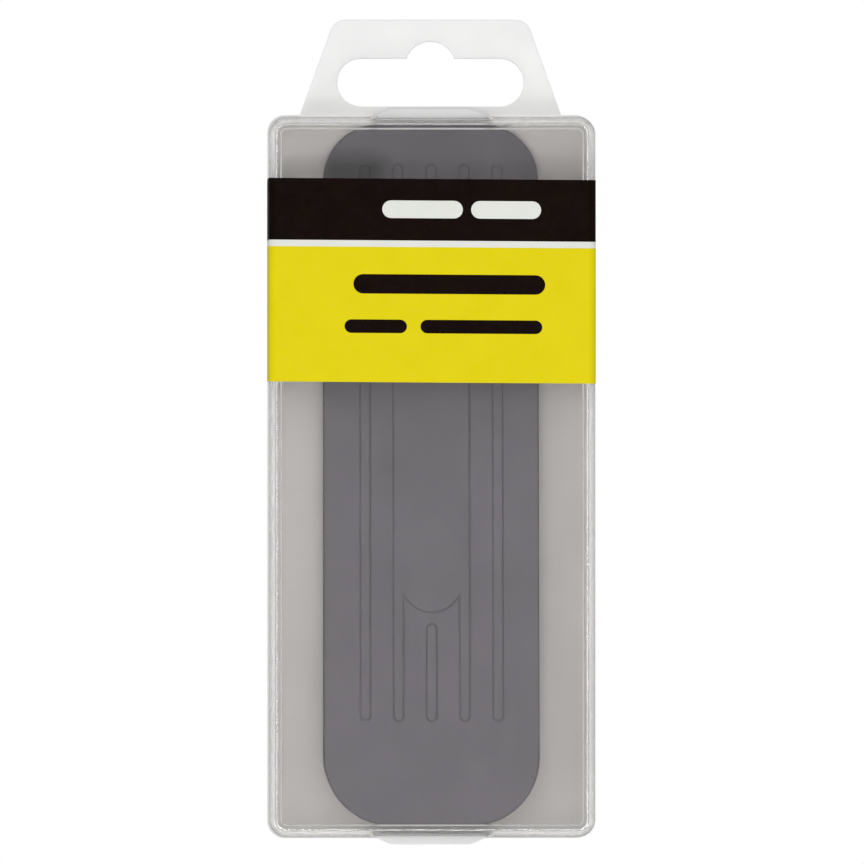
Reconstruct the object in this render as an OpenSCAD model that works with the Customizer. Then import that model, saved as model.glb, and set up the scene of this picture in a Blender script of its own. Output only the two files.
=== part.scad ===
// Grey rubber door wedge in its hanging pack: a milky back plate with a hang tab and two clip
// tongues, a clear cover over the wedge, and a printed label round the cover.
// +Z runs up to the hang tab, +X is to the viewer's right and the clear front faces -Y.
// The origin is the centre of the hang slot, on the flat rear face of the back plate.
// A depth is a distance in front of the rear face, towards -Y.

/* [Pack] */
// Width of the pack across its rear edge
pack_w = 55.9; // [52:0.1:70]
// Height of the pack without its hang tab
pack_h = 123.9; // [123.5:0.1:140]
// Depth from the rear face to the clear front
pack_depth = 26; // [25.6:0.1:32]
// Radius of the pack's four upright corners
corner_r = 3; // [2:0.1:5]

/* [Clear cover] */
// Thickness of the side and end walls
wall_t = 1.15; // [0.9:0.05:1.4]
// Thickness of the front wall
front_t = 1.2; // [0.9:0.05:1.4]
// How far each side wall leans in by the front
draft_side = 0.2; // [0.1:0.1:0.8]
// How far each end wall leans in by the front
draft_end = 0.7; // [0.1:0.1:1]
// Radius of the outer front edge
edge_r = 1.3; // [0.5:0.1:1.5]
// Radius of the inner front edge
inner_r = 0.3; // [0.2:0.1:0.8]
// How far inside the wall the front wall steps down to its full inner depth
step_in = 0.8; // [0.5:0.1:1.5]
// Height of that step
step_h = 0.35; // [0.1:0.05:0.5]

/* [Back plate] */
// Thickness of the back plate and the hang tab
plate_t = 1.2; // [1:0.1:1.4]
// Gap between the back plate and the cover's rear edge
seat_gap = 0.1; // [0.05:0.05:0.2]

/* [Hang tab] */
// Width of the tab where it leaves the pack
tab_base_w = 44.8; // [42:0.1:50]
// Width of the tab across its top, before the corners are rounded
tab_top_w = 33; // [32:0.1:40]
// Height of the tab above the pack
tab_h = 16.4; // [14:0.1:20]
// Radius of the tab's top corners
tab_corner_r = 2.75; // [1:0.05:4]
// Width of the hang slot, the standard euro size
slot_w = 32; // [31:0.5:33]
// Height of the hang slot's side arms
slot_h = 8.2; // [8:0.1:9]
// Strip of tab left below the slot
slot_edge = 1.5; // [1:0.1:3]
// Radius of the bump in the middle of the slot, where the hook sits
bump_r = 4.35; // [4:0.05:5]
// Height of the bump above the slot's arms
bump_rise = 2.9; // [2:0.1:3.5]

/* [Clip tongues] */
// Width of a tongue at its root, in the cover's groove
tongue_root_w = 20.6; // [16:0.1:24]
// Width of a tongue at its outer face
tongue_tip_w = 13.8; // [10:0.1:16]
// How far a tongue stands out past the pack's end
tongue_out = 1; // [0.6:0.1:1.5]
// How far a tongue reaches towards the front
tongue_len = 6; // [4:0.5:9]
// Depth of the dovetail groove for a tongue in the cover's end wall
groove_d = 0.7; // [0.5:0.05:0.8]
// Gap between a tongue and its groove
tongue_gap = 0.1; // [0.05:0.05:0.2]

/* [Wedge] */
// Length of the wedge
wedge_len = 119.9; // [100:0.05:120]
// Width of the wedge
wedge_w = 36.9; // [34:0.1:40]
// Thickness at the heel, the thick end
heel_t = 22; // [18:0.5:22.5]
// Thickness at the toe, the thin end
toe_t = 3; // [2:0.5:5]
// Corner radius at the heel, seen from the front
heel_r = 11.7; // [8:0.1:15]
// Corner radius at the toe, seen from the front
toe_r = 9.8; // [6:0.1:15]
// Gap between the top of the pack and the toe
toe_gap = 1.5; // [1.4:0.05:2]
// Gap between the back plate and the wedge's base
base_gap = 0.3; // [0.2:0.1:0.5]

/* [Grip ribs] */
// Width of a rib
rib_w = 1.7; // [1:0.1:2.5]
// Distance between neighbouring ribs
rib_pitch = 5.65; // [5:0.05:6.5]
// Height of the ribs and the raised panel above the ramp
rib_rise = 0.5; // [0.3:0.1:0.8]
// Smooth length between the heel and the ribs
heel_margin = 17.9; // [15:0.1:25]
// Smooth length between the toe and the ribs
toe_margin = 7.05; // [6:0.05:12]
// Length of each short middle rib
short_rib_len = 16.5; // [10:0.5:20]
// Gap between a short middle rib and the raised panel
panel_gap = 2; // [1:0.1:4]
// Radius of the panel's round ends
panel_r = 5.2; // [5:0.1:6.5]

/* [Label] */
// Height of the label
label_h = 34.6; // [20:0.1:60]
// Distance from the top of the pack to the label
label_drop = 11.3; // [8:0.1:40]
// Thickness of the label
label_t = 0.1; // [0.1:0.05:0.2]
// How far the label is stuck out of level, in degrees, with its right side low
label_tilt = 0.4; // [0:0.1:1]

/* [Hidden] */
$fn = 32;

slab = 0.01;   // thickness of the thin layers that a shell is stretched over
spill = 1;     // how far a cutting shape runs past the face it cuts

pack_top = -(slot_h / 2 + slot_edge);
pack_bottom = pack_top - pack_h;
pack_mid = (pack_top + pack_bottom) / 2;
seat_depth = plate_t + seat_gap;

tab_top = pack_top + tab_h;
tab_lean = atan((tab_base_w - tab_top_w) / 2 / tab_h);

tongue_in = groove_d - tongue_gap;

base_depth = plate_t + base_gap;
toe_z = pack_top - toe_gap;
heel_z = toe_z - wedge_len;
rib_low = heel_z + heel_margin;
rib_high = toe_z - toe_margin;
rib_mid = (rib_low + rib_high) / 2;
panel_half = rib_mid - (rib_low + short_rib_len + panel_gap);

label_top = pack_top - label_drop;

// Extrudes an outline drawn as seen from the front, between two depths
module between_depths(from, to) {
    translate([0, -from, 0]) rotate([90, 0, 0]) linear_extrude(to - from) children();
}

// The same outline at the bottom end, and turned over for the top end
module at_top_end() {
    translate([0, 2 * pack_mid]) mirror([0, 1]) children();
}

module rounded_rect(w, h, r) {
    square([w - 2 * r, h], center = true);
    square([w, h - 2 * r], center = true);
    for (x = [-1, 1], y = [-1, 1])
        translate([x * (w / 2 - r), y * (h / 2 - r)]) circle(r);
}

// Outline of the pack, set in all round; lean runs from 0 at the rear edge to 1 at the front
module pack_outline(inset = 0, lean = 0) {
    translate([0, pack_mid])
        rounded_rect(pack_w - 2 * (draft_side * lean + inset),
                     pack_h - 2 * (draft_end * lean + inset), corner_r - inset);
}

// Drafted block with a rounded front edge, which both the cover and its cavity are made of
module drafted_block(inset, rear, front, front_r) {
    hull() {
        between_depths(rear, rear + slab) pack_outline(inset);
        for (a = [0:30:90])
            between_depths(front - front_r * (1 - sin(a)) - slab, front - front_r * (1 - sin(a)))
                pack_outline(inset + front_r * (1 - cos(a)), 1);
    }
}

module cover_block(grow = 0) {
    drafted_block(-grow, seat_depth, pack_depth + grow, edge_r);
}

// The outline of the clip tongue at the bottom end, wide at its root and narrow at its tip
module tongue_outline() {
    polygon([[-tongue_root_w / 2, pack_bottom + tongue_in],
             [tongue_root_w / 2, pack_bottom + tongue_in],
             [tongue_tip_w / 2, pack_bottom - tongue_out],
             [-tongue_tip_w / 2, pack_bottom - tongue_out]]);
}

// The dovetail groove in the cover's bottom end wall. It runs straight past the tongue and leans in
// with the wall from there to the front.
module groove() {
    straight = tongue_len + 3 * tongue_gap;
    between_depths(seat_depth - slab, straight) offset(delta = tongue_gap) tongue_outline();
    hull() {
        between_depths(straight - slab, straight) offset(delta = tongue_gap) tongue_outline();
        between_depths(pack_depth, pack_depth + slab)
            translate([0, draft_end]) offset(delta = tongue_gap) tongue_outline();
    }
}

module clip_tongue_bottom() {
    color([0.86, 0.86, 0.85])
    difference() {
        between_depths(0, tongue_len) tongue_outline();
        between_depths(-spill, plate_t) pack_outline();
    }
}

module clip_tongue_top() {
    color([0.86, 0.86, 0.85])
    between_depths(plate_t, tongue_len) at_top_end() tongue_outline();
}

module back_plate() {
    color([0.80, 0.80, 0.79]) between_depths(0, plate_t) pack_outline();
}

// Trapezium with two round top corners
module tab_outline() {
    corner_x = tab_top_w / 2 + tab_corner_r * (tan(tab_lean) - 1 / cos(tab_lean));
    corner_z = tab_top - tab_corner_r;
    side_x = corner_x + tab_corner_r * cos(tab_lean);
    side_z = corner_z + tab_corner_r * sin(tab_lean);
    polygon([[-tab_base_w / 2, pack_top], [tab_base_w / 2, pack_top],
             [side_x, side_z], [corner_x, tab_top], [-corner_x, tab_top], [-side_x, side_z]]);
    for (side = [-1, 1])
        translate([side * corner_x, corner_z]) circle(tab_corner_r);
}

// Euro slot: two round-ended arms and a bump in the middle
module slot_outline() {
    square([slot_w - slot_h, slot_h], center = true);
    for (side = [-1, 1])
        translate([side * (slot_w - slot_h) / 2, 0]) circle(slot_h / 2);
    translate([0, slot_h / 2 + bump_rise - bump_r]) circle(bump_r);
}

module hang_tab() {
    color([0.92, 0.92, 0.92])
    difference() {
        between_depths(0, plate_t) tab_outline();
        between_depths(-spill, plate_t + spill) slot_outline();
    }
}

module front_cover() {
    color([0.75, 0.78, 0.80, 0.4])
    difference() {
        cover_block();
        drafted_block(wall_t, seat_depth - spill, pack_depth - front_t - step_h, inner_r);
        drafted_block(wall_t + step_in, seat_depth, pack_depth - front_t, inner_r);
        groove();
        translate([0, 0, 2 * pack_mid]) mirror([0, 0, 1]) groove();
    }
}

module front_label() {
    color([0.88, 0.82, 0.10])
    intersection() {
        difference() {
            cover_block(label_t);
            cover_block();
        }
        translate([0, 0, label_top]) rotate([0, label_tilt, 0])
            translate([-pack_w, -2 * pack_depth, -label_h])
                cube([2 * pack_w, 2 * pack_depth - seat_depth - slab, label_h]);
    }
}

// Footprint of the wedge, with its heel at the bottom
module wedge_outline() {
    polygon([[-wedge_w / 2 + heel_r, heel_z], [wedge_w / 2 - heel_r, heel_z],
             [wedge_w / 2, heel_z + heel_r], [wedge_w / 2, toe_z - toe_r],
             [wedge_w / 2 - toe_r, toe_z], [-wedge_w / 2 + toe_r, toe_z],
             [-wedge_w / 2, toe_z - toe_r], [-wedge_w / 2, heel_z + heel_r]]);
    for (side = [-1, 1]) {
        translate([side * (wedge_w / 2 - heel_r), heel_z + heel_r]) circle(heel_r);
        translate([side * (wedge_w / 2 - toe_r), toe_z - toe_r]) circle(toe_r);
    }
}

// Everything under the ramp, or under the same ramp raised by the height of the ribs
module under_ramp(rise = 0) {
    rotate([90, 0, 90])
        linear_extrude(2 * wedge_w, center = true)
            polygon([[-base_depth, heel_z], [-base_depth - heel_t - rise, heel_z],
                     [-base_depth - toe_t - rise, toe_z], [-base_depth, toe_z]]);
}

module round_ended_bar(x, low, high) {
    translate([x - rib_w / 2, low + rib_w / 2]) square([rib_w, high - low - rib_w]);
    for (z = [low + rib_w / 2, high - rib_w / 2])
        translate([x, z]) circle(rib_w / 2);
}

// Four long ribs, a raised panel between the middle two, and a short rib at each end of it
module rib_outline() {
    for (i = [-2, -1, 1, 2])
        round_ended_bar(i * rib_pitch, rib_low, rib_high);
    round_ended_bar(0, rib_low, rib_low + short_rib_len);
    round_ended_bar(0, rib_high - short_rib_len, rib_high);
    intersection() {
        translate([-rib_pitch, rib_mid - panel_half]) square([2 * rib_pitch, 2 * panel_half]);
        union() {
            translate([-rib_pitch, rib_mid - panel_half + panel_r])
                square([2 * rib_pitch, 2 * (panel_half - panel_r)]);
            for (end = [-1, 1])
                translate([0, rib_mid + end * (panel_half - panel_r)]) circle(panel_r);
        }
    }
}

module door_wedge() {
    color([0.42, 0.41, 0.43]) {
        intersection() {
            between_depths(0, pack_depth) wedge_outline();
            under_ramp();
        }
        intersection() {
            between_depths(base_depth, pack_depth) rib_outline();
            under_ramp(rib_rise);
        }
    }
}

door_wedge();
back_plate();
hang_tab();
clip_tongue_top();
clip_tongue_bottom();
front_cover();
front_label();
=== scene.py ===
"""Rubber door wedge in its hanging pack: the looks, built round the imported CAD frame.

Shapes are worked out in millimetres as (x, depth, z). A depth is a distance in front of the flat
rear face, so it runs towards -Y. point() turns such a triple into metres in the frame.
"""

import math

import bmesh
import bpy
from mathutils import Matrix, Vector
from mathutils.geometry import tessellate_polygon


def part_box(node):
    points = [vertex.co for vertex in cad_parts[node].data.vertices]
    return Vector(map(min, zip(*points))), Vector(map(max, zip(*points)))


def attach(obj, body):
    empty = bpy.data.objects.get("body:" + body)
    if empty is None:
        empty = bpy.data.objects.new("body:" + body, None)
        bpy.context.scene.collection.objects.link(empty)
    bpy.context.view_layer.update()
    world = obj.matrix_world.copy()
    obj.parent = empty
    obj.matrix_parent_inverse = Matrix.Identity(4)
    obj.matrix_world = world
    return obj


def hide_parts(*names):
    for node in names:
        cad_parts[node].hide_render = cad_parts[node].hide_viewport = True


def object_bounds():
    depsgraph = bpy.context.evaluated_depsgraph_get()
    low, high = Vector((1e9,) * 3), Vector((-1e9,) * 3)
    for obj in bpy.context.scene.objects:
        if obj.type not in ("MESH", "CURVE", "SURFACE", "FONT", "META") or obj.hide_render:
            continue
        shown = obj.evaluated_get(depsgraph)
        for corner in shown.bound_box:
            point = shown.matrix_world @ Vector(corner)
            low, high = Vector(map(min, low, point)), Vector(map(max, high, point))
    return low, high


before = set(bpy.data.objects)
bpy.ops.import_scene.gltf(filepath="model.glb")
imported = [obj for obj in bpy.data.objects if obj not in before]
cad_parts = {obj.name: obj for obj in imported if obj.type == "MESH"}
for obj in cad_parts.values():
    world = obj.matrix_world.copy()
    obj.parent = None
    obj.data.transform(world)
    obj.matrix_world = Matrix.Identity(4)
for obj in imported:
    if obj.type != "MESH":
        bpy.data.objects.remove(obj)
cad_low, cad_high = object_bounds()

MM = 0.001


# ---------------------------------------------------------------- sizes, from the frame


def node_box(node):
    """((x0, x1), (depth0, depth1), (z0, z1)) of a CAD node, in millimetres."""
    low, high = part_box(node)
    return (
        (low.x / MM, high.x / MM),
        (-high.y / MM, -low.y / MM),
        (low.z / MM, high.z / MM),
    )


PACK_X, _, PACK_Z = node_box("back_plate")
_, COVER_D, _ = node_box("front_cover")
_, TAB_D, TAB_Z = node_box("hang_tab")
LABEL_X, LABEL_D, LABEL_Z = node_box("front_label")
WEDGE_X, WEDGE_D, WEDGE_Z = node_box("door_wedge")
TONGUE_X, TONGUE_D, TONGUE_Z = node_box("clip_tongue_bottom")

HALF_W = PACK_X[1]
PACK_MID = (PACK_Z[0] + PACK_Z[1]) / 2
PLATE_T = TAB_D[1]
CORNER_R = 3.0

# the cover
WALL_T, FRONT_T = 1.15, 1.2
DRAFT_SIDE, DRAFT_END = 0.2, 0.7
EDGE_R, INNER_R = 1.3, 0.3
STEP_IN, STEP_H = 0.8, 0.35
GROOVE_GAP = 0.03

# the clip tongues
TONGUE_ROOT, TONGUE_TIP = TONGUE_X[1], 6.9

# the hang tab
TAB_BASE_HALF, TAB_TOP_HALF, TAB_CORNER_R = 22.4, 16.5, 2.75
SLOT_HALF, SLOT_R, BUMP_R, BUMP_RISE = 16.0, 4.1, 4.35, 2.9

# the wedge
HEEL_R, TOE_R = 11.7, 9.8
HEEL_T, TOE_T = WEDGE_D[1] - WEDGE_D[0], 3.0
RIB_HALF, RIB_PITCH, RIB_RISE = 0.85, 5.65, 0.5
RIB_LOW, RIB_HIGH = WEDGE_Z[0] + 17.9, WEDGE_Z[1] - 7.05
SHORT_RIB, PANEL_GAP, PANEL_R = 16.5, 2.0, 5.2


def point(x, depth, z):
    return (x * MM, -depth * MM, z * MM)


# ---------------------------------------------------------------- mesh helpers


def mesh_piece(name, points, faces, materials, face_materials=None):
    """A closed, smooth-shaded mesh object with outward normals."""
    mesh = bpy.data.meshes.new(name)
    mesh.from_pydata([point(*p) for p in points], [], faces)
    for material in materials:
        mesh.materials.append(material)
    if face_materials:
        mesh.polygons.foreach_set("material_index", face_materials)
    work = bmesh.new()
    work.from_mesh(mesh)
    bmesh.ops.remove_doubles(work, verts=work.verts, dist=1e-7)
    bmesh.ops.recalc_face_normals(work, faces=work.faces)
    work.to_mesh(mesh)
    work.free()
    mesh.shade_smooth()
    piece = bpy.data.objects.new(name, mesh)
    bpy.context.scene.collection.objects.link(piece)
    return piece


def sharpen(piece, degrees):
    """Keeps edges bent more than this many degrees crisp under smooth shading."""
    piece.data.set_sharp_from_angle(angle=math.radians(degrees))


def loft(rings, cap_first=True, cap_last=True, offset=0):
    """Faces between rings of equal length, each ring one closed loop of points."""
    count = len(rings[0])
    faces = []
    for r in range(len(rings) - 1):
        a, b = offset + r * count, offset + (r + 1) * count
        for i in range(count):
            j = (i + 1) % count
            faces.append((a + i, a + j, b + j, b + i))
    if cap_first:
        faces.append(tuple(offset + i for i in range(count)))
    if cap_last:
        last = offset + (len(rings) - 1) * count
        faces.append(tuple(last + i for i in range(count)))
    return faces


def arc(centre_x, centre_z, radius, start, stop, steps):
    """Points on an arc, from start to stop degrees, both ends included."""
    return [
        (
            centre_x + radius * math.cos(math.radians(start + (stop - start) * i / steps)),
            centre_z + radius * math.sin(math.radians(start + (stop - start) * i / steps)),
        )
        for i in range(steps + 1)
    ]


def between(a, b, steps):
    """Points strictly between two points."""
    return [
        (a[0] + (b[0] - a[0]) * i / steps, a[1] + (b[1] - a[1]) * i / steps)
        for i in range(1, steps)
    ]


def inset_loop(loop, inset):
    """A loop moved towards its inside. The loop runs anticlockwise; a hole's runs clockwise."""
    moved = []
    count = len(loop)
    for i in range(count):
        (x0, z0), (x1, z1), (x2, z2) = loop[i - 1], loop[i], loop[(i + 1) % count]
        a, b = math.hypot(x1 - x0, z1 - z0), math.hypot(x2 - x1, z2 - z1)
        normal_a = (-(z1 - z0) / a, (x1 - x0) / a)
        normal_b = (-(z2 - z1) / b, (x2 - x1) / b)
        mid_x, mid_z = normal_a[0] + normal_b[0], normal_a[1] + normal_b[1]
        scale = 2 * inset / (mid_x**2 + mid_z**2)
        moved.append((x1 + mid_x * scale, z1 + mid_z * scale))
    return moved


def smooth_step(t):
    t = min(1.0, max(0.0, t))
    return t * t * (3 - 2 * t)


# ---------------------------------------------------------------- materials


def new_material(name):
    """(material, node tree, its Principled shader), with the shader linked to the output."""
    material = bpy.data.materials.new(name)
    material.use_nodes = True
    tree = material.node_tree
    tree.nodes.clear()
    output = tree.nodes.new("ShaderNodeOutputMaterial")
    shader = tree.nodes.new("ShaderNodeBsdfPrincipled")
    tree.links.new(shader.outputs["BSDF"], output.inputs["Surface"])
    return material, tree, shader


def noise(tree, size_mm, detail=3.0, stretch=(1, 1, 1)):
    """A noise value whose features are about size_mm across, stretched along the axes."""
    place = tree.nodes.new("ShaderNodeTexCoord")
    mapping = tree.nodes.new("ShaderNodeMapping")
    mapping.inputs["Scale"].default_value = [1 / s for s in stretch]
    texture = tree.nodes.new("ShaderNodeTexNoise")
    texture.inputs["Scale"].default_value = 1 / (size_mm * MM)
    texture.inputs["Detail"].default_value = detail
    tree.links.new(place.outputs["Object"], mapping.inputs["Vector"])
    tree.links.new(mapping.outputs["Vector"], texture.inputs["Vector"])
    return texture.outputs["Fac"]


def spread(tree, value, low, high, start=0.3, stop=0.7):
    """Maps a value from start to stop onto low to high. Noise lies mostly within 0.3 to 0.7."""
    node = tree.nodes.new("ShaderNodeMapRange")
    node.inputs["From Min"].default_value = start
    node.inputs["From Max"].default_value = stop
    node.inputs["To Min"].default_value = low
    node.inputs["To Max"].default_value = high
    tree.links.new(value, node.inputs["Value"])
    return node.outputs["Result"]


def two_tone(tree, value, dark, light, start=0.3, stop=0.7):
    """Maps a value from start to stop onto a blend of two colours."""
    node = tree.nodes.new("ShaderNodeValToRGB")
    node.color_ramp.elements[0].position = start
    node.color_ramp.elements[1].position = stop
    node.color_ramp.elements[0].color = (*dark, 1)
    node.color_ramp.elements[1].color = (*light, 1)
    tree.links.new(value, node.inputs["Fac"])
    return node.outputs["Color"]


def blend_colours(tree, mode, factor, a, b):
    node = tree.nodes.new("ShaderNodeMix")
    node.data_type = "RGBA"
    node.blend_type = mode
    node.inputs["Factor"].default_value = factor
    tree.links.new(a, node.inputs[6])
    tree.links.new(b, node.inputs[7])
    return node.outputs[2]


def bump(tree, shader, value, height_mm, strength=1.0):
    node = tree.nodes.new("ShaderNodeBump")
    node.inputs["Strength"].default_value = strength
    node.inputs["Distance"].default_value = height_mm * MM
    tree.links.new(value, node.inputs["Height"])
    tree.links.new(node.outputs["Normal"], shader.inputs["Normal"])


def outside_box(tree, x_range, depths, z_range, soft_mm):
    """0 inside a box, rising to 1 this far from it. The box is given in millimetres."""
    low, high = point(x_range[0], depths[1], z_range[0]), point(x_range[1], depths[0], z_range[1])
    vector = tree.nodes.new("ShaderNodeTexCoord").outputs["Object"]
    steps = (
        ("SUBTRACT", [(a + b) / 2 for a, b in zip(low, high)]),
        ("ABSOLUTE", None),
        ("SUBTRACT", [(b - a) / 2 for a, b in zip(low, high)]),
        ("MAXIMUM", (0, 0, 0)),
    )
    for operation, operand in steps:
        node = tree.nodes.new("ShaderNodeVectorMath")
        node.operation = operation
        if operand:
            node.inputs[1].default_value = operand
        tree.links.new(vector, node.inputs[0])
        vector = node.outputs["Vector"]
    far = tree.nodes.new("ShaderNodeVectorMath")
    far.operation = "LENGTH"
    tree.links.new(vector, far.inputs[0])
    return spread(tree, far.outputs["Value"], 0, 1, 0, soft_mm * MM)


# Where painted shade darkens the rubber: a soft patch just above the label's top edge, on its left
# half.
SHADE_ABOVE_LABEL_X = (-16, -10)
SHADE_ABOVE_LABEL_D = (WEDGE_D[0] + 4.4, WEDGE_D[1])
SHADE_ABOVE_LABEL_Z = (LABEL_Z[1] - 0.5, LABEL_Z[1] + 1.6)
SHADE_ABOVE_LABEL_SOFT = 4.5


def rubber_material():
    """Matt grey rubber: faint blotches, fine grain, and painted shade in a dark patch above the
    label.
    """
    material, tree, shader = new_material("grey_rubber")
    blotch = two_tone(tree, noise(tree, 9, 2), (0.101, 0.0935, 0.109), (0.117, 0.108, 0.126))
    grain = two_tone(tree, noise(tree, 0.5, 4), (0.90, 0.90, 0.90), (1.0, 1.0, 1.0))
    colour = blend_colours(tree, "MULTIPLY", 1.0, blotch, grain)
    # Painted shade above the label: the rubber is darkened inside this box and fades out around it.
    unshaded_rubber = outside_box(tree, SHADE_ABOVE_LABEL_X, SHADE_ABOVE_LABEL_D, SHADE_ABOVE_LABEL_Z, SHADE_ABOVE_LABEL_SOFT)
    painted_label_shade = two_tone(tree, unshaded_rubber, (0.20, 0.19, 0.19), (1.0, 1.0, 1.0), 0.1, 1.0)
    colour = blend_colours(tree, "MULTIPLY", 1.0, colour, painted_label_shade)
    tree.links.new(colour, shader.inputs["Base Color"])
    tree.links.new(spread(tree, noise(tree, 3, 3), 0.50, 0.66), shader.inputs["Roughness"])
    shader.inputs["Specular IOR Level"].default_value = 0.35
    bump(tree, shader, noise(tree, 0.35, 4), 0.015, 0.6)
    return material


SCATTER = 1.5
RIM = WALL_T + 0.2


def milky_material():
    """Milky plastic, faintly clouded. Its front inside the cover's walls is greyer: painted shade
    for the dimmer light in the box.
    """
    material, tree, shader = new_material("milky_plastic")
    cloud = two_tone(tree, noise(tree, 12, 2), (0.80, 0.80, 0.80), (0.845, 0.845, 0.84))
    # Painted shade: the plate's front is greyed inside the cover's walls, standing in for the
    # dimmer light in the box.
    inside_x, inside_z = (RIM - HALF_W, HALF_W - RIM), (PACK_Z[0] + RIM, PACK_Z[1] - RIM)
    outer = outside_box(tree, inside_x, (PLATE_T - 0.25, COVER_D[1]), inside_z, 0.2)
    painted_cover_shade = two_tone(tree, outer, (0.70, 0.683, 0.672), (1.0, 1.0, 1.0), 0.0, 1.0)
    colour = blend_colours(tree, "MULTIPLY", 1.0, cloud, painted_cover_shade)
    tree.links.new(colour, shader.inputs["Base Color"])
    tree.links.new(spread(tree, noise(tree, 2.5, 3), 0.5, 0.62), shader.inputs["Roughness"])
    shader.inputs["Subsurface Weight"].default_value = 1.0
    shader.inputs["Subsurface Radius"].default_value = (1.0, 1.0, 0.95)
    shader.inputs["Subsurface Scale"].default_value = SCATTER * MM
    bump(tree, shader, noise(tree, 0.3, 3), 0.01, 0.5)
    return material


def clear_material():
    """Clear moulded plastic, very faintly wavy. Shadow rays pass straight through its walls."""
    material, tree, shader = new_material("clear_plastic")
    shader.inputs["Base Color"].default_value = (0.87, 0.862, 0.857, 1)
    shader.inputs["Transmission Weight"].default_value = 1.0
    shader.inputs["IOR"].default_value = 1.49
    tree.links.new(spread(tree, noise(tree, 6, 3), 0.0, 0.012), shader.inputs["Roughness"])
    bump(tree, shader, noise(tree, 18, 1), 0.002, 0.3)
    path = tree.nodes.new("ShaderNodeLightPath")
    passing = tree.nodes.new("ShaderNodeBsdfTransparent")
    passing.inputs["Color"].default_value = (0.78, 0.775, 0.77, 1)
    mix = tree.nodes.new("ShaderNodeMixShader")
    output = next(n for n in tree.nodes if n.type == "OUTPUT_MATERIAL")
    tree.links.new(path.outputs["Is Shadow Ray"], mix.inputs["Fac"])
    tree.links.new(shader.outputs["BSDF"], mix.inputs[1])
    tree.links.new(passing.outputs["BSDF"], mix.inputs[2])
    tree.links.new(mix.outputs["Shader"], output.inputs["Surface"])
    return material


def ink_material(name, dark, light, specular=0.12):
    """Printed film: slightly uneven ink under a thin satin varnish."""
    material, tree, shader = new_material(name)
    uneven = two_tone(tree, noise(tree, 5, 5), dark, light)
    tree.links.new(uneven, shader.inputs["Base Color"])
    tree.links.new(spread(tree, noise(tree, 1.2, 3), 0.48, 0.62), shader.inputs["Roughness"])
    shader.inputs["Specular IOR Level"].default_value = specular
    bump(tree, shader, noise(tree, 0.6, 3), 0.004, 0.5)
    return material


RUBBER = rubber_material()
MILKY = milky_material()
CLEAR = clear_material()
BLACK_INK = ink_material("label_black", (0.0055, 0.0022, 0.0014), (0.0075, 0.0034, 0.0024), 0.02)
YELLOW_INK = ink_material("label_yellow", (0.69, 0.583, 0.001), (0.715, 0.604, 0.003), 0.07)
WHITE_FILM = ink_material("label_white", (0.68, 0.69, 0.65), (0.71, 0.72, 0.68))


# ---------------------------------------------------------------- clear cover

CORNER_STEPS = 10
SIDE_STEPS = 24
END_STEPS = 16


def pack_loop(inset, lean):
    """The pack's outline, set in all round. lean runs from 0 at the rear edge to 1 in front."""
    half = HALF_W - DRAFT_SIDE * lean - inset
    top = PACK_Z[1] - DRAFT_END * lean - inset
    bottom = PACK_Z[0] + DRAFT_END * lean + inset
    radius = max(CORNER_R - inset, 0.35)
    x, low, high = half - radius, bottom + radius, top - radius
    loop = arc(x, low, radius, -90, 0, CORNER_STEPS)
    loop += between((half, low), (half, high), SIDE_STEPS)
    loop += arc(x, high, radius, 0, 90, CORNER_STEPS)
    loop += between((x, top), (-x, top), END_STEPS)
    loop += arc(-x, high, radius, 90, 180, CORNER_STEPS)
    loop += between((-half, high), (-half, low), SIDE_STEPS)
    loop += arc(-x, low, radius, 180, 270, CORNER_STEPS)
    return loop + between((-x, bottom), (x, bottom), END_STEPS)


def cover_ring(depth, inset, lean):
    return [(x, depth, z) for x, z in pack_loop(inset, lean)]


def cut_groove(cover, turn):
    """Cuts a tongue's dovetail groove through the end wall. Past the tongue it leans in."""
    rear, front = COVER_D
    low, high = TONGUE_Z
    tongue = [(-TONGUE_TIP, low), (TONGUE_TIP, low), (TONGUE_ROOT, high), (-TONGUE_ROOT, high)]
    section = inset_loop(tongue, -GROOVE_GAP)
    straight = TONGUE_D[1] + 0.3
    rings = []
    for depth, lean in ((rear - 1, 0), (straight, 0), (front, 1), (front + 1, 1)):
        ring = [(x, depth, z + DRAFT_END * lean) for x, z in section]
        if turn < 0:
            ring = [(x, d, 2 * PACK_MID - z) for x, d, z in reversed(ring)]
        rings.append(ring)
    points = [p for ring in rings for p in ring]
    cutter = mesh_piece("cutter", points, loft(rings), [CLEAR])
    cut = cover.modifiers.new("groove", "BOOLEAN")
    cut.object = cutter
    cut.operation = "DIFFERENCE"
    cut.solver = "EXACT"
    bpy.context.view_layer.update()
    depsgraph = bpy.context.evaluated_depsgraph_get()
    mesh = bpy.data.meshes.new_from_object(cover.evaluated_get(depsgraph))
    cover.modifiers.clear()
    cover.data = mesh
    bpy.data.objects.remove(cutter)


WALL_RINGS = (6, 12, 18)
RIM_EDGE = ((0.15, 0.0), (0.04, 0.03), (0.0, 0.12))
NEAR = 0.1


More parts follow.
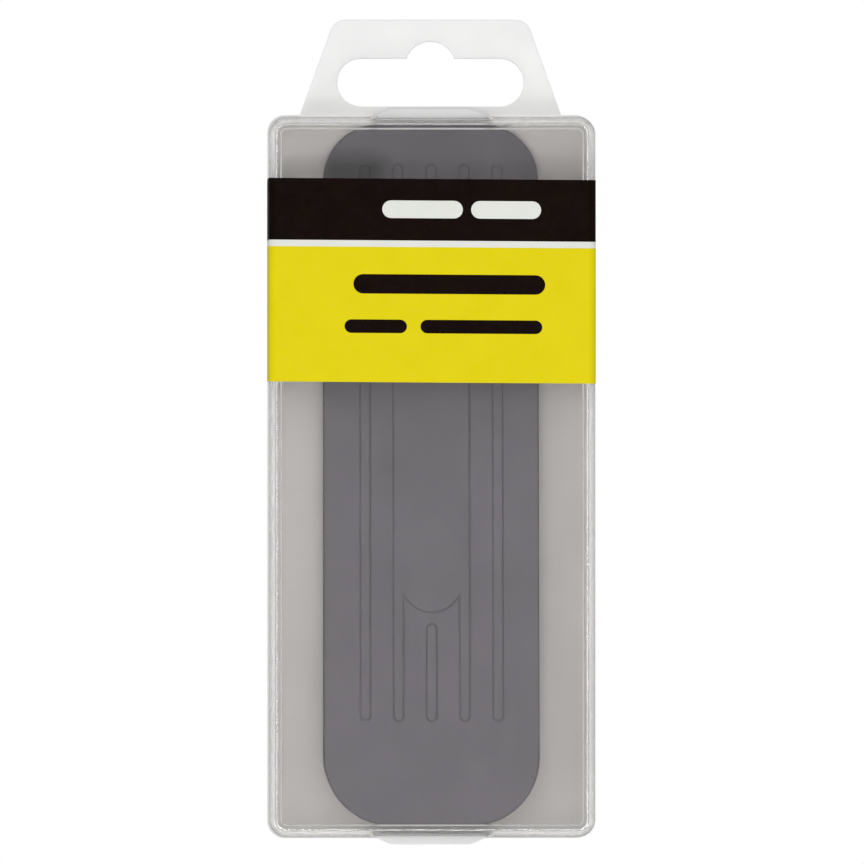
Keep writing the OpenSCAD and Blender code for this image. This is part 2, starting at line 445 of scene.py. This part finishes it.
def build_cover():
    """One closed mesh, from the middle of the inside, round the rear rim, to the outside."""
    rear, front = COVER_D
    ledge = front - FRONT_T - STEP_H
    inner_side = ledge - INNER_R
    outer_side = front - EDGE_R
    step_in = WALL_T + STEP_IN
    # the inside of the front, the step's slope with its two soft edges, and the step's ledge
    rings = [cover_ring(front - FRONT_T, step_in + extra, 1) for extra in (2.0, 0.32, 0.26)]
    rings.append(cover_ring(front - FRONT_T - 0.05, step_in + 0.19, 1))
    rings.append(cover_ring(ledge + 0.05, step_in + 0.05, 1))
    ledge_end = STEP_IN - INNER_R - 0.05
    rings += [cover_ring(ledge, step_in - extra, 1) for extra in (0.02, 0.08, ledge_end)]
    for angle in range(90, -1, -15):
        turn = math.radians(angle)
        depth = inner_side + INNER_R * math.sin(turn)
        rings.append(cover_ring(depth, WALL_T + INNER_R * (1 - math.cos(turn)), 1))
    lowest = rear + RIM_EDGE[0][0]
    for depth in (inner_side - NEAR, *reversed(WALL_RINGS), lowest):
        rings.append(cover_ring(depth, WALL_T, depth / inner_side))
    rings += [cover_ring(rear + rise, WALL_T - inset, 0) for rise, inset in RIM_EDGE[1:]]
    rings += [cover_ring(rear + rise, inset, 0) for rise, inset in reversed(RIM_EDGE[1:])]
    for depth in (lowest, *WALL_RINGS, outer_side - NEAR):
        rings.append(cover_ring(depth, 0, (depth - rear) / (outer_side - rear)))
    for angle in range(0, 91, 10):
        turn = math.radians(angle)
        depth = outer_side + EDGE_R * math.sin(turn)
        rings.append(cover_ring(depth, EDGE_R * (1 - math.cos(turn)), 1))
    rings += [cover_ring(front, EDGE_R + extra, 1) for extra in (0.2, 2.0)]
    points = [p for ring in rings for p in ring]
    piece = mesh_piece("clear_cover", points, loft(rings), [CLEAR])
    for turn in (1, -1):
        cut_groove(piece, turn)
    sharpen(piece, 45)
    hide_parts("front_cover")
    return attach(piece, "cover")


build_cover()


# ---------------------------------------------------------------- label

LABEL_H, LABEL_TILT = 34.6, 0.4
LABEL_TOP = (LABEL_Z[0] + LABEL_Z[1] + LABEL_H) / 2
BLACK_HIGH = 10.5
WHITE_HIGH = 1.1
FILM_IN, FILM_OUT = 0.01, 0.06
FRONT_STEPS = 36


def label_path(offset):
    """(x, depth) along the cover's outside, from the right rear edge to the left one."""
    rear, front = COVER_D
    outer_side = front - EDGE_R
    side = []
    for depth in (LABEL_D[0] + 0.1, 5, 9, 13, 17, 21, outer_side - 0.1):
        lean = (depth - rear) / (outer_side - rear)
        side.append((HALF_W - DRAFT_SIDE * lean + offset, depth))
    centre = HALF_W - DRAFT_SIDE - EDGE_R
    bend = arc(centre, outer_side, EDGE_R + offset, 0, 90, 8)
    right = side + bend
    flat = between(right[-1], (-right[-1][0], right[-1][1]), FRONT_STEPS)
    return right + flat + [(-x, depth) for x, depth in reversed(right)]


def label_z(x, drop):
    """Height of a point on the tilted label, a distance down from its top edge."""
    return LABEL_TOP - drop - x * math.tan(math.radians(LABEL_TILT))


def build_label():
    """The film in three printed bands, bottom to top. Its back and its edges are white."""
    inks = [YELLOW_INK, WHITE_FILM, BLACK_INK]
    white = inks.index(WHITE_FILM)
    outer, inner = label_path(FILM_OUT), label_path(FILM_IN)
    drops = (LABEL_H, BLACK_HIGH + WHITE_HIGH, BLACK_HIGH, 0)
    points = [(x, d, label_z(x, drop)) for drop in drops for x, d in outer + inner]
    count, step = len(outer), 2 * len(outer)
    faces, slots = [], []
    for i in range(count - 1):
        for band in range(len(inks)):
            a, b = band * step + i, (band + 1) * step + i
            faces.append((a, a + 1, b + 1, b))
            slots.append(band)
            faces.append((a + count, a + count + 1, b + count + 1, b + count))
            slots.append(white)
        for base in (0, len(inks) * step):
            faces.append((base + i, base + i + 1, base + count + i + 1, base + count + i))
            slots.append(white)
    for i in (0, count - 1):
        for band in range(len(inks)):
            a, b = band * step + i, (band + 1) * step + i
            faces.append((a, b, b + count, a + count))
            slots.append(white)
    piece = mesh_piece("label_film", points, faces, inks, slots)
    sharpen(piece, 40)
    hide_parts("front_label")
    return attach(piece, "cover")


def build_print(name, x_range, drop, high, ink):
    """One round-ended printed bar, a thin raised layer on the label's front."""
    radius = high / 2
    loop = arc(x_range[1] - radius, drop, radius, -90, 90, 12)
    loop += arc(x_range[0] + radius, drop, radius, 90, 270, 12)
    front = COVER_D[1] + FILM_OUT
    rings = [[(x, front + lift, label_z(x, d)) for x, d in loop] for lift in (-0.01, 0.012)]
    points = [p for ring in rings for p in ring]
    piece = mesh_piece(name, points, loft(rings), [ink])
    sharpen(piece, 40)
    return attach(piece, "cover")


build_label()
TITLE_DROP, NAME_DROP, KIND_DROP = 5.2, 17.9, 25.1
build_print("print_title_a", (-8.5, 5.2), TITLE_DROP, 3.0, WHITE_FILM)
build_print("print_title_b", (6.6, 18.5), TITLE_DROP, 3.0, WHITE_FILM)
build_print("print_name", (-13.4, 19.2), NAME_DROP, 3.3, BLACK_INK)
build_print("print_kind_a", (-14.9, -4.3), KIND_DROP, 2.3, BLACK_INK)
build_print("print_kind_b", (-2.0, 18.7), KIND_DROP, 2.3, BLACK_INK)


# ---------------------------------------------------------------- milky back moulding


def round_corners(loop, reach, steps):
    """Rounds every corner of a loop, starting this far from the corner."""
    rounded = []
    count = len(loop)
    for i in range(count):
        ends = []
        corner = loop[i]
        for other in (loop[i - 1], loop[(i + 1) % count]):
            far = math.hypot(other[0] - corner[0], other[1] - corner[1])
            ends.append([c + (o - c) * reach / far for c, o in zip(corner, other)])
        for step in range(steps + 1):
            t = step / steps
            rounded.append(
                tuple(
                    (1 - t) ** 2 * a + 2 * t * (1 - t) * c + t**2 * b
                    for a, c, b in zip(ends[0], corner, ends[1])
                )
            )
    return rounded


def edge_steps(depths, radius):
    """(depth, inset) up a wall between two depths whose edges are rounded."""
    low, high = depths
    steps = []
    for angle in (90, 60, 30, 0):
        turn = math.radians(angle)
        steps.append((low + radius * (1 - math.sin(turn)), radius * (1 - math.cos(turn))))
    return steps + [(high + low - depth, inset) for depth, inset in reversed(steps)]


def slab(outer, depths, radius, hole=None):
    """(points, faces) of a flat moulding with rounded edges and at most one hole."""
    points, faces = [], []
    for loop in filter(None, (outer, hole)):
        rings = [
            [(x, depth, z) for x, z in inset_loop(loop, inset)]
            for depth, inset in edge_steps(depths, radius)
        ]
        faces += loft(rings, cap_first=False, cap_last=False, offset=len(points))
        points += [p for ring in rings for p in ring]
    rows = len(edge_steps(depths, radius))
    loops = [len(outer)] + ([len(hole)] if hole else [])
    for row in (0, rows - 1):
        start, index, flat = 0, [], []
        for length in loops:
            first = start + row * length
            index += range(first, first + length)
            flat.append([(points[i][0], points[i][2], 0) for i in range(first, first + length)])
            start += rows * length
        if hole:
            triangles = tessellate_polygon(flat)
            faces += [tuple(index[i] for i in triangle) for triangle in triangles]
        else:
            faces.append(tuple(index))
    return points, faces


def back_outline():
    """The back plate with the hang tab on top, anticlockwise as seen from the front."""
    x, low, high = HALF_W - CORNER_R, PACK_Z[0] + CORNER_R, PACK_Z[1] - CORNER_R
    lean = math.degrees(math.atan2(TAB_BASE_HALF - TAB_TOP_HALF, TAB_Z[1] - TAB_Z[0]))
    tangent = math.tan(math.radians(lean))
    tab_x = TAB_TOP_HALF + TAB_CORNER_R * (tangent - 1 / math.cos(math.radians(lean)))
    tab_z = TAB_Z[1] - TAB_CORNER_R
    loop = arc(-x, low, CORNER_R, 180, 270, 12)
    loop += arc(x, low, CORNER_R, 270, 360, 12)
    loop += arc(x, high, CORNER_R, 0, 90, 12)
    loop.append((TAB_BASE_HALF, TAB_Z[0]))
    loop += arc(tab_x, tab_z, TAB_CORNER_R, lean, 90, 12)
    loop += arc(-tab_x, tab_z, TAB_CORNER_R, 90, 180 - lean, 12)
    loop.append((-TAB_BASE_HALF, TAB_Z[0]))
    return loop + arc(-x, high, CORNER_R, 90, 180, 12)


def slot_outline():
    """The euro slot, clockwise, so that its edges round the right way."""
    bump_z = SLOT_R + BUMP_RISE - BUMP_R
    meet = math.degrees(math.asin((SLOT_R - bump_z) / BUMP_R))
    end_x = SLOT_HALF - SLOT_R
    loop = arc(end_x, 0, SLOT_R, -90, 90, 20)
    loop += arc(0, bump_z, BUMP_R, meet, 180 - meet, 20)
    loop += arc(-end_x, 0, SLOT_R, 90, 270, 20)
    return list(reversed(loop))


def build_back():
    points, faces = slab(back_outline(), (0, PLATE_T), radius=0.18, hole=slot_outline())
    piece = mesh_piece("back_moulding", points, faces, [MILKY])
    sharpen(piece, 35)
    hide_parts("back_plate", "hang_tab")
    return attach(piece, "back")


def tongue_outline(turn):
    """A tongue's outline, wide at its root; turn is 1 for the bottom end and -1 for the top."""
    low, high = TONGUE_Z
    loop = [(TONGUE_TIP, low), (TONGUE_ROOT, high), (-TONGUE_ROOT, high), (-TONGUE_TIP, low)]
    loop = round_corners(loop, reach=0.8, steps=5)
    if turn < 0:
        loop = [(x, 2 * PACK_MID - z) for x, z in reversed(loop)]
    return loop


def build_tongue(name, node, turn, rear):
    points, faces = slab(tongue_outline(turn), (rear, TONGUE_D[1]), radius=0.06)
    piece = mesh_piece(name, points, faces, [MILKY])
    sharpen(piece, 35)
    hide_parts(node)
    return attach(piece, "back")


build_back()
# The bottom tongue reaches the rear face. The top one stands on the plate and the tab, 0.3 mm sunk.
build_tongue("tongue_bottom", "clip_tongue_bottom", 1, 0.0)
build_tongue("tongue_top", "clip_tongue_top", -1, PLATE_T - 0.3)


# ---------------------------------------------------------------- rubber wedge

WEDGE_HALF = WEDGE_X[1]
HEEL_Z, TOE_Z = WEDGE_Z
BASE_D = WEDGE_D[0]
HEEL_FLAT, TOE_FLAT = WEDGE_HALF - HEEL_R, WEDGE_HALF - TOE_R
SIDE_RUN = TOE_Z - HEEL_Z - HEEL_R - TOE_R
QUARTER = math.pi / 2
HALF_ROUND = HEEL_FLAT + QUARTER * HEEL_R + SIDE_RUN + QUARTER * TOE_R + TOE_FLAT
FLANK = 0.28
RIB_MID = (RIB_LOW + RIB_HIGH) / 2
PANEL_END = RIB_MID - (RIB_LOW + SHORT_RIB + PANEL_GAP) - PANEL_R
TOP_EDGE_R, BASE_EDGE_R, SIDE_DRAFT = 0.4, 0.4, 0.1


def ramp_depth(z):
    return BASE_D + HEEL_T + (TOE_T - HEEL_T) * (z - HEEL_Z) / (TOE_Z - HEEL_Z)


def bar_inside(x, z, bar_x, low, high):
    """How far a point lies inside a round-ended rib. It is negative outside."""
    nearest = min(max(z, low + RIB_HALF), high - RIB_HALF)
    return RIB_HALF - math.hypot(x - bar_x, z - nearest)


def panel_inside(x, z):
    """How far a point lies inside the raised panel, which has round ends."""
    across = RIB_PITCH - abs(x)
    past_end = abs(z - RIB_MID) - PANEL_END
    if past_end <= 0:
        return across
    return min(across, PANEL_R - math.hypot(x, past_end))


def relief(x, z):
    """Height of the ribs and the panel above the ramp."""
    inside = max(bar_inside(x, z, i * RIB_PITCH, RIB_LOW, RIB_HIGH) for i in (-2, -1, 1, 2))
    inside = max(inside, bar_inside(x, z, 0, RIB_LOW, RIB_LOW + SHORT_RIB))
    inside = max(inside, bar_inside(x, z, 0, RIB_HIGH - SHORT_RIB, RIB_HIGH))
    inside = max(inside, panel_inside(x, z))
    return RIB_RISE * smooth_step(inside / FLANK + 0.5)


def grid_lines(low, high, coarse, fine, zones):
    """Positions from low to high, spaced finely within the zones and coarsely elsewhere."""
    lines = [low]
    while lines[-1] < high - 1e-6:
        here = lines[-1]
        in_zone = any(a - 1e-6 <= here < b - 1e-6 for a, b in zones)
        step = fine if in_zone else coarse
        starts = [a for a, _ in zones if here < a - 1e-6]
        stops = [high] + starts
        lines.append(min([here + step] + stops))
    return lines


def outline_at(length):
    """(x, z, normal x, normal z) of the wedge's outline at a distance round it.

    It starts at the middle of the heel and runs anticlockwise."""
    length %= 2 * HALF_ROUND
    if length > HALF_ROUND:
        x, z, normal_x, normal_z = outline_at(2 * HALF_ROUND - length)
        return -x, z, -normal_x, normal_z
    if length <= HEEL_FLAT:
        return length, HEEL_Z, 0, -1
    length -= HEEL_FLAT
    if length <= QUARTER * HEEL_R:
        turn = length / HEEL_R - QUARTER
        c, s = math.cos(turn), math.sin(turn)
        return HEEL_FLAT + HEEL_R * c, HEEL_Z + HEEL_R * (1 + s), c, s
    length -= QUARTER * HEEL_R
    if length <= SIDE_RUN:
        return WEDGE_HALF, HEEL_Z + HEEL_R + length, 1, 0
    length -= SIDE_RUN
    if length <= QUARTER * TOE_R:
        turn = length / TOE_R
        c, s = math.cos(turn), math.sin(turn)
        return TOE_FLAT + TOE_R * c, TOE_Z - TOE_R * (1 - s), c, s
    length -= QUARTER * TOE_R
    return TOE_FLAT - length, TOE_Z, 0, 1


GRID_MARGIN = 1.2
COARSE, FINE_X, FINE_Z = 1.0, 0.12, 0.14
NEAR_FLANK, NEAR_END = 0.24, 0.3


def wedge_grid():
    """The x and z lines of the mesh over the ribs, fine where a flank or an end lies."""
    reach_x = 2 * RIB_PITCH + RIB_HALF + GRID_MARGIN
    flank_x = [(i * RIB_PITCH + side * RIB_HALF) for i in (-2, 2) for side in (-1, 1)]
    zones_x = [(x - NEAR_FLANK, x + NEAR_FLANK) for x in flank_x]
    inner = RIB_PITCH + RIB_HALF + NEAR_FLANK
    zones_x = zones_x[:2] + [(-inner, inner)] + zones_x[2:]
    lines_x = grid_lines(-reach_x, reach_x, COARSE, FINE_X, zones_x)
    end = RIB_HALF + NEAR_END
    arc_low = RIB_MID - PANEL_END - PANEL_R
    short = RIB_LOW + SHORT_RIB
    zones_low = [
        (RIB_LOW - NEAR_END, RIB_LOW + end),
        (short - end, short + NEAR_END),
        (arc_low - NEAR_END, RIB_MID - PANEL_END - 1.0),
    ]
    zones_high = [(2 * RIB_MID - b, 2 * RIB_MID - a) for a, b in reversed(zones_low)]
    low, high = RIB_LOW - GRID_MARGIN, RIB_HIGH + GRID_MARGIN
    lines_z = grid_lines(low, high, COARSE, FINE_Z, zones_low + zones_high)
    return lines_x, lines_z


def grid_border(across, along):
    """Indices of the grid's border points, anticlockwise from its lower right corner."""
    border = [r * across + across - 1 for r in range(along)]
    border += [(along - 1) * across + c for c in range(across - 2, -1, -1)]
    border += [r * across for r in range(along - 2, -1, -1)]
    return border + list(range(1, across - 1))


def border_lengths(lines_x, lines_z):
    """A distance round the outline for each of the grid's border points, in the same order."""
    low_corner = HEEL_FLAT + QUARTER / 2 * HEEL_R
    high_corner = HEEL_FLAT + QUARTER * HEEL_R + SIDE_RUN + QUARTER / 2 * TOE_R
    span = high_corner - low_corner
    share_z = [(z - lines_z[0]) / (lines_z[-1] - lines_z[0]) for z in lines_z]
    share_x = [(x - lines_x[0]) / (lines_x[-1] - lines_x[0]) for x in lines_x]
    lengths = [low_corner + span * s for s in share_z]
    lengths += [high_corner + 2 * (HALF_ROUND - high_corner) * (1 - s) for s in share_x[-2::-1]]
    lengths += [2 * HALF_ROUND - high_corner + span * (1 - s) for s in share_z[-2::-1]]
    return lengths + [-low_corner + 2 * low_corner * s for s in share_x[1:-1]]


def wedge_ring(outline, inset, down, drop=0.0, rise=0.0):
    """The outline set in. It lies this drop below the ramp where down is 0, and this rise above
    the base where down is 1."""
    loop = [(x - nx * inset, z - nz * inset) for x, z, nx, nz in outline]
    return [(x, (ramp_depth(z) - drop) * (1 - down) + (BASE_D + rise) * down, z) for x, z in loop]


def ramp_rings(border, edge):
    """Rings on the plain ramp, from the grid's border out to the ramp's edge."""
    rings = []
    for share in (0.25, 0.5, 0.75):
        ring = []
        for (x0, _, z0), (x1, _, z1) in zip(border, edge):
            x, z = x0 + (x1 - x0) * share, z0 + (z1 - z0) * share
            ring.append((x, ramp_depth(z), z))
        rings.append(ring)
    return rings + [edge]


def side_rings(outline):
    """Rings round the top edge, down the side, round the base edge and in over the base."""
    rings = []
    for angle in range(90, -1, -10):
        turn = math.radians(angle)
        inset = SIDE_DRAFT + TOP_EDGE_R * (1 - math.cos(turn))
        rings.append(wedge_ring(outline, inset, 0, drop=TOP_EDGE_R * (1 - math.sin(turn))))
    for down in (0.03, 0.5, 0.97):
        rings.append(wedge_ring(outline, SIDE_DRAFT * (1 - down), down, TOP_EDGE_R, BASE_EDGE_R))
    for angle in range(0, 91, 15):
        turn = math.radians(angle)
        inset = BASE_EDGE_R * (1 - math.cos(turn))
        rings.append(wedge_ring(outline, inset, 1, rise=BASE_EDGE_R * (1 - math.sin(turn))))
    return rings + [wedge_ring(outline, BASE_EDGE_R + extra, 1) for extra in (0.1, 6.0)]


def build_wedge():
    """One closed mesh: the ribbed grid on the ramp, and rings from its border to the base."""
    lines_x, lines_z = wedge_grid()
    across, along = len(lines_x), len(lines_z)
    points = [(x, ramp_depth(z) + relief(x, z), z) for z in lines_z for x in lines_x]
    faces = [
        (r * across + c, r * across + c + 1, (r + 1) * across + c + 1, (r + 1) * across + c)
        for r in range(along - 1)
        for c in range(across - 1)
    ]
    border = grid_border(across, along)
    outline = [outline_at(length) for length in border_lengths(lines_x, lines_z)]
    edge = wedge_ring(outline, SIDE_DRAFT + TOP_EDGE_R + 0.12, 0)
    rings = ramp_rings([points[i] for i in border], edge) + side_rings(outline)
    start, count = len(points), len(border)
    points += [p for ring in rings for p in ring]
    for i in range(count):
        j = (i + 1) % count
        faces.append((border[i], border[j], start + j, start + i))
    faces += loft(rings, cap_first=False, offset=start)
    piece = mesh_piece("rubber_wedge", points, faces, [RUBBER])
    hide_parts("door_wedge")
    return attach(piece, "wedge")


build_wedge()


# ---------------------------------------------------------------- floor, lights and camera

CAMERA_FAR = 2.7
FRAME_WIDE = 0.1482
CAMERA_Z = -0.0599
CAMERA_TURN = 0.7
AIM_DEPTH = 0.0225
FLOOR_GAP = 0.45


def build_floor():
    """A pale round floor below the hanging pack. It fades out before its edge shows."""
    mesh = bpy.data.meshes.new("floor")
    work = bmesh.new()
    bmesh.ops.create_circle(work, cap_ends=True, radius=1.2, segments=96)
    work.to_mesh(mesh)
    work.free()
    floor = bpy.data.objects.new("floor", mesh)
    floor.location = (0, 0, cad_low.z - FLOOR_GAP)
    bpy.context.scene.collection.objects.link(floor)
    material, tree, shader = new_material("pale_floor")
    shader.inputs["Roughness"].default_value = 0.8
    shader.inputs["Base Color"].default_value = (0.86, 0.86, 0.855, 1)
    place = tree.nodes.new("ShaderNodeTexCoord")
    reach = tree.nodes.new("ShaderNodeVectorMath")
    reach.operation = "LENGTH"
    tree.links.new(place.outputs["Object"], reach.inputs[0])
    tree.links.new(spread(tree, reach.outputs["Value"], 1, 0, 0.25, 1.1), shader.inputs["Alpha"])
    mesh.materials.append(material)


def build_world():
    """Pure white behind the object; soft grey studio light from all round."""
    world = bpy.data.worlds.new("studio")
    bpy.context.scene.world = world
    world.use_nodes = True
    tree = world.node_tree
    tree.nodes.clear()
    output = tree.nodes.new("ShaderNodeOutputWorld")
    room = tree.nodes.new("ShaderNodeBackground")
    seen = tree.nodes.new("ShaderNodeBackground")
    path = tree.nodes.new("ShaderNodeLightPath")
    mix = tree.nodes.new("ShaderNodeMixShader")
    room.inputs["Color"].default_value = (0.62, 0.62, 0.62, 1)
    room.inputs["Strength"].default_value = 1.0
    seen.inputs["Color"].default_value = (1, 1, 1, 1)
    seen.inputs["Strength"].default_value = 1.0
    tree.links.new(path.outputs["Is Camera Ray"], mix.inputs["Fac"])
    tree.links.new(room.outputs["Background"], mix.inputs[1])
    tree.links.new(seen.outputs["Background"], mix.inputs[2])
    tree.links.new(mix.outputs["Shader"], output.inputs["Surface"])


def add_softbox(name, place, size, power, aim):
    """A soft rectangular lamp. The camera sees neither it nor its image through the cover."""
    light = bpy.data.lights.new(name, "AREA")
    light.shape = "RECTANGLE"
    light.size, light.size_y = size
    light.energy = power
    lamp = bpy.data.objects.new(name, light)
    lamp.location = place
    direction = [a - p for a, p in zip(aim, place)]
    lamp.rotation_mode = "QUATERNION"
    lamp.rotation_quaternion = Vector(direction).to_track_quat("-Z", "Y")
    lamp.visible_camera = False
    lamp.visible_transmission = False
    bpy.context.scene.collection.objects.link(lamp)


def build_camera():
    """A long lens square to the front, as the object is pictured."""
    data = bpy.data.cameras.new("camera")
    data.lens = data.sensor_width * CAMERA_FAR / FRAME_WIDE
    data.clip_start, data.clip_end = 0.1, 20
    camera = bpy.data.objects.new("camera", data)
    turn = math.radians(CAMERA_TURN)
    reach = CAMERA_FAR - AIM_DEPTH
    camera.location = (-reach * math.sin(turn), -AIM_DEPTH - reach * math.cos(turn), CAMERA_Z)
    camera.rotation_euler = (math.pi / 2, 0, -turn)
    bpy.context.scene.collection.objects.link(camera)
    bpy.context.scene.camera = camera


build_floor()
build_world()
# The strips stand just off the camera's axis, so the rounded edges mirror them and the flats don't.
MIDDLE = (0, 0, CAMERA_Z)
STRIP_Y = -2.3
UPRIGHT, LEVEL = (0.14, 1.0), (1.0, 0.14)
add_softbox("strip_left", (-0.17, STRIP_Y, CAMERA_Z), UPRIGHT, 5.2, MIDDLE)
add_softbox("strip_right", (0.21, STRIP_Y, CAMERA_Z), UPRIGHT, 5.4, MIDDLE)
add_softbox("strip_above", (0.0, STRIP_Y, 0.18), LEVEL, 2.4, MIDDLE)
add_softbox("strip_below", (0.0, STRIP_Y, -0.39), LEVEL, 8.4, MIDDLE)
add_softbox("softbox_low", (-0.6, -1.2, -0.38), (0.35, 0.35), 1.6, MIDDLE)
build_camera()
scene = bpy.context.scene
scene.view_settings.view_transform = "Standard"
# A ray that runs along one of the cover's walls is mirrored many times before it leaves.
scene.cycles.max_bounces = 40
scene.cycles.transmission_bounces = 40
scene.cycles.glossy_bounces = 24
scene.cycles.transparent_max_bounces = 32
